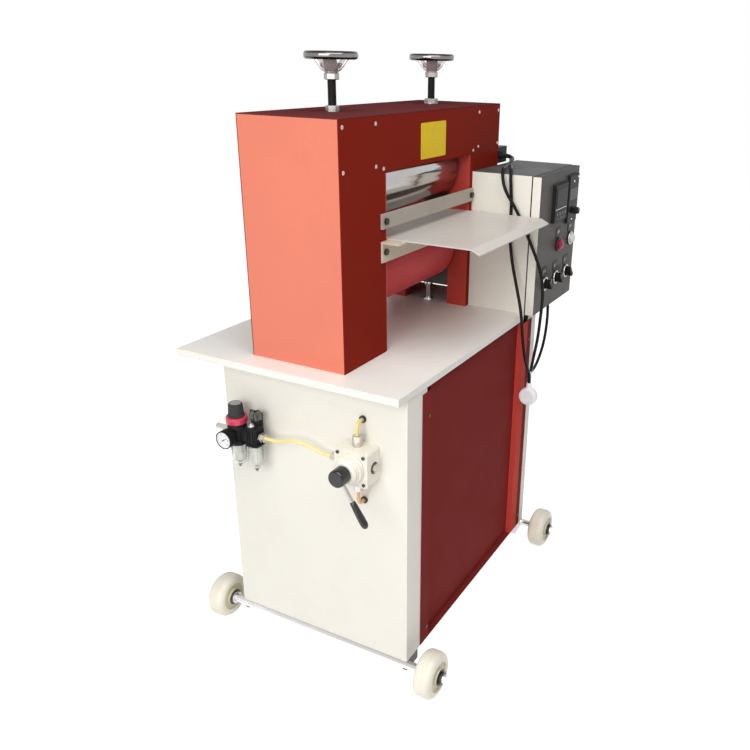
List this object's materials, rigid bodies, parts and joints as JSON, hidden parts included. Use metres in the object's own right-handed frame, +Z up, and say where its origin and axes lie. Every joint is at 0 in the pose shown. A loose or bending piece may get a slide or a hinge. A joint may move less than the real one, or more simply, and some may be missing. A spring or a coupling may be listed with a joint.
{
  "type": "two-roller leather press",
  "caption": "Wheeled two-roller leather press: heated chrome roller over an air-lifted silicone roller in an arched head, with gap handwheels, air unit, hand valve and control box.",
  "frame": {"origin": "on the floor, under the middle of the whole machine's outline", "axes": "+X to the operator's right along the rollers, +Y from the operator through the rollers to the back, +Z up"},
  "size_m": [1.0004, 0.674, 1.353],
  "materials": {
    "red_paint": "gloss",
    "cream_paint": "satin",
    "grey_paint": "satin",
    "black_steel": "satin",
    "motor_paint": "satin",
    "bright_steel": "satin",
    "chrome": "polished",
    "cylinder_alloy": "satin",
    "block_iron": "satin",
    "silicone": "matte",
    "nylon": "satin",
    "black_plastic": "satin",
    "grey_plastic": "satin",
    "white_plastic": "gloss",
    "red_plastic": "gloss",
    "yellow_tube": "gloss",
    "clear_plastic": "gloss",
    "cord_jacket": "satin"
  },
  "bodies": {
    "root": {"cabinet_sides": "cream_paint", "cabinet_back_panel": "cream_paint", "cabinet_floor": "cream_paint", "front_cover": "red_paint", "axles": "bright_steel", "table_top": "cream_paint", "bed_bars": "black_steel", "side_plate_left": "red_paint", "side_plate_right": "red_paint", "top_beam": "black_steel", "head_front_cover": "red_paint", "head_back_cover": "red_paint", "head_end_covers": "red_paint", "head_top_cover": "red_paint", "panel_fasteners": "bright_steel", "gap_nuts": "chrome", "guard_bar": "cream_paint", "feed_angle": "cream_paint", "feed_plate": "cream_paint", "lift_cylinders": "cylinder_alloy", "control_box": "grey_paint", "control_gear": "grey_plastic", "heater_terminal_box": "black_plastic", "cable_glands": "black_plastic", "regulator_body": "black_plastic", "lubricator_head": "black_plastic", "filter_bowls": "clear_plastic", "pressure_gauge": "bright_steel", "air_fittings": "bright_steel", "air_tubes": "yellow_tube", "valve_body": "cream_paint", "mains_cord": "cord_jacket", "heater_cable": "cord_jacket", "mains_plug": "white_plastic"},
    "upper_carriage": {"upper_blocks": "block_iron", "gear_motor": "motor_paint", "heater_rod": "bright_steel"},
    "hot_roller": {"upper_roller": "chrome"},
    "left_gap_screw": {"left_handwheel": "chrome"},
    "right_gap_screw": {"right_handwheel": "chrome"},
    "lower_carriage": {"lower_blocks": "block_iron", "lift_rods": "chrome"},
    "soft_roller": {"lower_roller_core": "bright_steel", "lower_roller_cover": "silicone"},
    "front_left_wheel": {"wheel_front_left": "nylon"},
    "front_right_wheel": {"wheel_front_right": "nylon"},
    "back_left_wheel": {"wheel_back_left": "nylon"},
    "back_right_wheel": {"wheel_back_right": "nylon"},
    "door": {"control_door": "grey_paint", "temperature_controller": "black_plastic", "speed_controller": "black_plastic", "door_bezels": "bright_steel"},
    "speed_dial": {"speed_knob": "black_plastic"},
    "stop_button": {"red_button": "red_plastic"},
    "start_button": {"white_button": "white_plastic"},
    "left_selector": {"selector_1": "black_plastic"},
    "middle_selector": {"selector_2": "black_plastic"},
    "right_selector": {"selector_3": "black_plastic"},
    "pressure_knob": {"regulator_knob": "black_plastic"},
    "lever": {"valve_lever": "black_plastic"}
  },
  "joints": [
    {"name": "upper_gap", "type": "slide", "parent": "root", "child": "upper_carriage", "axis": [0, 0, 1], "range_m": [-0.006, 0.002]},
    {"name": "hot_roller_turn", "type": "hinge", "parent": "upper_carriage", "child": "hot_roller", "pos_m": [-0.00785, 0.04, 1.09], "axis": [1, 0, 0], "continuous": true},
    {"name": "left_screw_turn", "type": "hinge", "parent": "upper_carriage", "child": "left_gap_screw", "pos_m": [-0.22185, 0.04, 1.345], "axis": [0, 0, 1], "range_deg": [-541, 181]},
    {"name": "right_screw_turn", "type": "hinge", "parent": "upper_carriage", "child": "right_gap_screw", "pos_m": [0.20615, 0.04, 1.345], "axis": [0, 0, 1], "range_deg": [-541, 181]},
    {"name": "lower_lift", "type": "slide", "parent": "root", "child": "lower_carriage", "axis": [0, 0, 1], "range_m": [0, 0.0107]},
    {"name": "soft_roller_turn", "type": "hinge", "parent": "lower_carriage", "child": "soft_roller", "pos_m": [-0.00785, 0.04, 0.897], "axis": [1, 0, 0], "continuous": true},
    {"name": "front_left_roll", "type": "hinge", "parent": "root", "child": "front_left_wheel", "pos_m": [-0.38985, -0.297, 0.055], "axis": [0, 1, 0], "continuous": true},
    {"name": "front_right_roll", "type": "hinge", "parent": "root", "child": "front_right_wheel", "pos_m": [0.30215, -0.297, 0.055], "axis": [0, 1, 0], "continuous": true},
    {"name": "back_left_roll", "type": "hinge", "parent": "root", "child": "back_left_wheel", "pos_m": [-0.38985, 0.297, 0.055], "axis": [0, 1, 0], "continuous": true},
    {"name": "back_right_roll", "type": "hinge", "parent": "root", "child": "back_right_wheel", "pos_m": [0.30215, 0.297, 0.055], "axis": [0, 1, 0], "continuous": true},
    {"name": "door_hinge", "type": "hinge", "parent": "root", "child": "door", "pos_m": [0.49615, -0.2423, 0.908], "axis": [0, 0, 1], "range_deg": [0, 110]},
    {"name": "speed_turn", "type": "hinge", "parent": "door", "child": "speed_dial", "pos_m": [0.45715, -0.2706, 0.968], "axis": [0, 1, 0], "range_deg": [-135, 135]},
    {"name": "stop_press", "type": "slide", "parent": "door", "child": "stop_button", "axis": [0, 1, 0], "range_m": [0, 0.004], "stiffness_N_per_m": 600, "springref_m": -0.002},
    {"name": "start_press", "type": "slide", "parent": "door", "child": "start_button", "axis": [0, 1, 0], "range_m": [0, 0.004], "stiffness_N_per_m": 600, "springref_m": -0.002},
    {"name": "left_select", "type": "hinge", "parent": "door", "child": "left_selector", "pos_m": [0.27115, -0.2646, 0.805], "axis": [0, 1, 0], "range_deg": [-90, 0]},
    {"name": "middle_select", "type": "hinge", "parent": "door", "child": "middle_selector", "pos_m": [0.35215, -0.2646, 0.805], "axis": [0, 1, 0], "range_deg": [-90, 0]},
    {"name": "right_select", "type": "hinge", "parent": "door", "child": "right_selector", "pos_m": [0.43315, -0.2646, 0.805], "axis": [0, 1, 0], "range_deg": [-90, 0]},
    {"name": "pressure_turn", "type": "hinge", "parent": "root", "child": "pressure_knob", "pos_m": [-0.43185, 0.176, 0.606], "axis": [0, 0, 1], "range_deg": [-540, 540]},
    {"name": "lever_swing", "type": "hinge", "parent": "root", "child": "lever", "pos_m": [-0.47085, -0.132, 0.5625], "axis": [1, 0, 0], "range_deg": [0, 64]}
  ],
  "couplings": [
    {"joint": "left_screw_turn", "follows": "upper_gap", "rad_per_m": 1570.8},
    {"joint": "right_screw_turn", "follows": "upper_gap", "rad_per_m": 1570.8}
  ]
}
